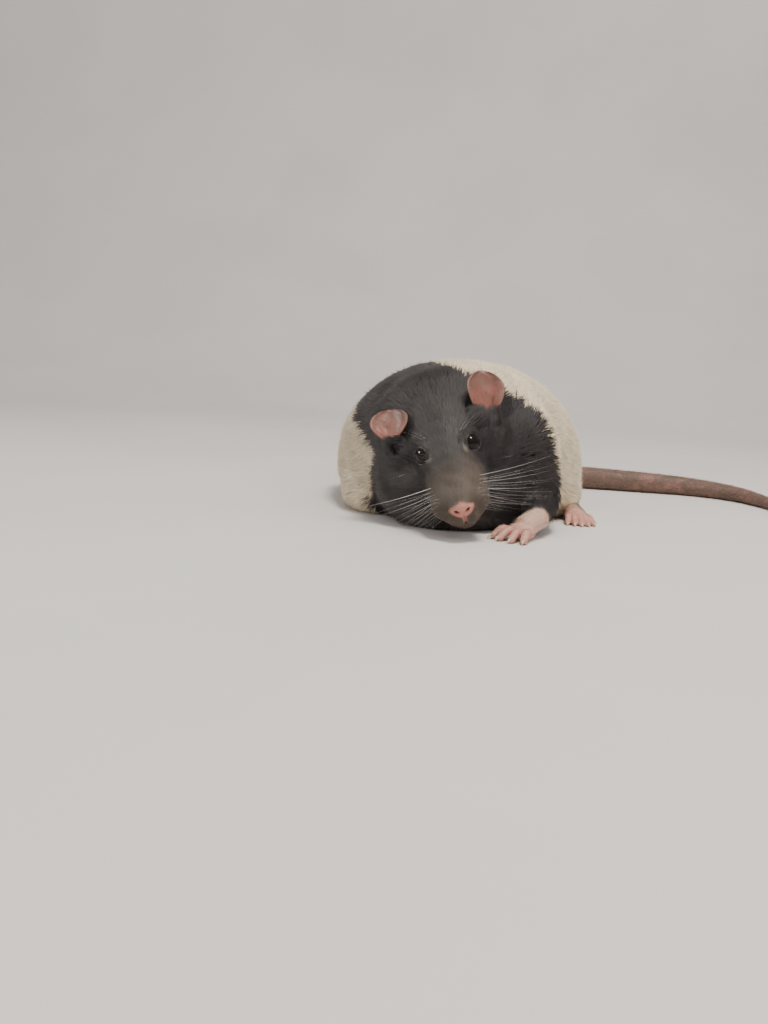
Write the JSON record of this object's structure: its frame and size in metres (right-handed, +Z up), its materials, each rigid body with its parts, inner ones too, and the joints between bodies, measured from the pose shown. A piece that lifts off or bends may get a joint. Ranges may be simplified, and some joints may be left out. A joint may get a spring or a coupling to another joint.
{
  "type": "hooded rat, resting",
  "caption": "Life-size still model of a pet rat lying on its belly, head lowered and tilted, dark hood, pale body, one paw forward, tail curved beside it.",
  "frame": {"origin": "on the floor, under the middle of the belly", "axes": "+Z up; -Y towards the nose, along the body; +X towards the rat's left, the side its tail lies on"},
  "size_m": [0.2053, 0.1965, 0.0622],
  "materials": {
    "dark_coat": "short black fur",
    "cream_coat": "short cream fur",
    "pink_skin": "thin bare skin",
    "ear_skin": "thin bare skin",
    "tail_skin": "ringed scales",
    "eye_gloss": "wet black"
  },
  "bodies": {
    "root": {"head": "dark_coat", "neck": "dark_coat", "torso": "cream_coat", "ear_left": "ear_skin", "ear_right": "ear_skin", "eye_left": "eye_gloss", "eye_right": "eye_gloss", "foreleg_left": "dark_coat", "foreleg_right": "dark_coat", "forefoot_left": "pink_skin", "forefoot_right": "pink_skin", "hindleg_left": "cream_coat", "hindleg_right": "cream_coat", "hindfoot_left": "pink_skin", "hindfoot_right": "pink_skin", "tail_root": "tail_skin", "tail_near": "tail_skin", "tail_far": "tail_skin", "tail_tip": "tail_skin"}
  },
  "joints": []
}
